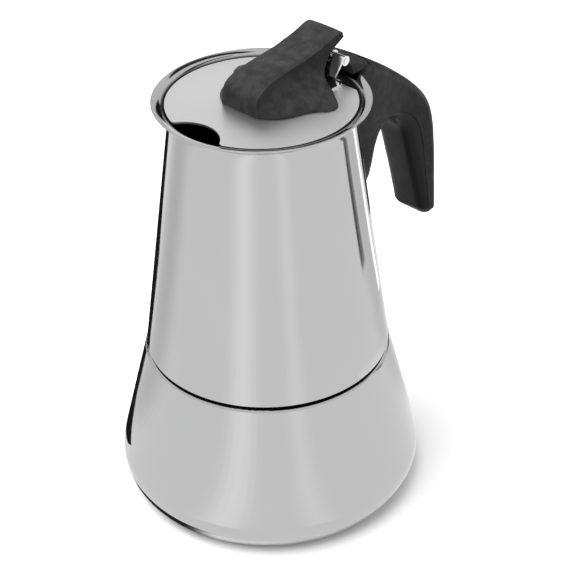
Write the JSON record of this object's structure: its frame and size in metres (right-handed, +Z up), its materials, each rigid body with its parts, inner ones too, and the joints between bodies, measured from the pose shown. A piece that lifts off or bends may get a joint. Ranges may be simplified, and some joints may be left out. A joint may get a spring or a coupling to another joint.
{
  "type": "moka pot",
  "caption": "Conical steel stove-top coffee maker with a screw-on upper vessel, flat hinged lid, black lid lever and black side handle.",
  "frame": {"origin": "centre of the flat underside of the base, on the axis of the pot", "axes": "+Z up along the axis of the pot, +X towards the handle, so the pouring notch of the lid is at -X; the safety valve is at +Y"},
  "size_m": [0.1669, 0.1313, 0.1992],
  "materials": {
    "polished_steel": "mirror polished stainless steel",
    "satin_steel": "satin, turned",
    "hinge_steel": "bright pressed sheet",
    "screw_steel": "bright zinc plated",
    "brass": "turned brass",
    "silicone": "translucent white silicone",
    "black_plastic": "fine-grained heat-proof plastic",
    "black_plastic_grip": "smooth heat-proof plastic"
  },
  "bodies": {
    "boiler": {"base_plate": "satin_steel", "boiler_shell": "polished_steel", "boiler_neck": "satin_steel", "valve_boss": "satin_steel", "valve_washer": "silicone", "valve_body": "brass", "valve_nut": "brass", "valve_spring": "screw_steel"},
    "valve_plunger": {"valve_plunger": "brass"},
    "funnel": {"funnel_cup": "satin_steel", "funnel_stem": "satin_steel", "funnel_strainer": "satin_steel"},
    "gasket": {"gasket": "silicone"},
    "filter_plate": {"filter_plate": "satin_steel"},
    "vessel": {"vessel_shell": "polished_steel", "vessel_floor": "satin_steel", "thread_ring": "satin_steel", "riser_column": "satin_steel", "column_cap": "satin_steel", "hinge_pin": "hinge_steel", "hinge_knuckle": "hinge_steel", "handle_outer_shell": "black_plastic", "handle_inner_shell": "black_plastic_grip", "handle_bracket": "satin_steel", "handle_screws": "screw_steel"},
    "lid": {"lid_disc": "polished_steel", "lid_knob": "black_plastic", "knob_screws": "screw_steel", "hinge_plate": "hinge_steel"}
  },
  "joints": [
    {"name": "vessel_lift_off", "type": "slide", "parent": "boiler", "child": "gasket", "axis": [0, 0, 1], "range_m": [0, 0.14]},
    {"name": "vessel_rise", "type": "slide", "parent": "gasket", "child": "filter_plate", "axis": [0, 0, 1], "range_m": [0, 0.0045]},
    {"name": "vessel_unscrew", "type": "hinge", "parent": "filter_plate", "child": "vessel", "pos_m": [0, 0, 0.085], "axis": [0, 0, 1], "range_deg": [0, 540]},
    {"name": "funnel_lift_out", "type": "slide", "parent": "boiler", "child": "funnel", "axis": [0, 0, 1], "range_m": [0, 0.07]},
    {"name": "lid_open", "type": "hinge", "parent": "vessel", "child": "lid", "pos_m": [0.0322, 0, 0.19], "axis": [0, 1, 0], "range_deg": [0, 64]},
    {"name": "valve_plunger_slide", "type": "slide", "parent": "boiler", "child": "valve_plunger", "axis": [0, 1, 0], "range_m": [0, 0.0015], "stiffness_N_per_m": 400, "deforming": ["valve_spring"]}
  ],
  "couplings": [
    {"joint": "vessel_rise", "follows": "vessel_unscrew", "m_per_rad": 0.00047746},
    {"joint": "funnel_lift_out", "follows": "vessel_lift_off", "ratio": 0.5}
  ]
}
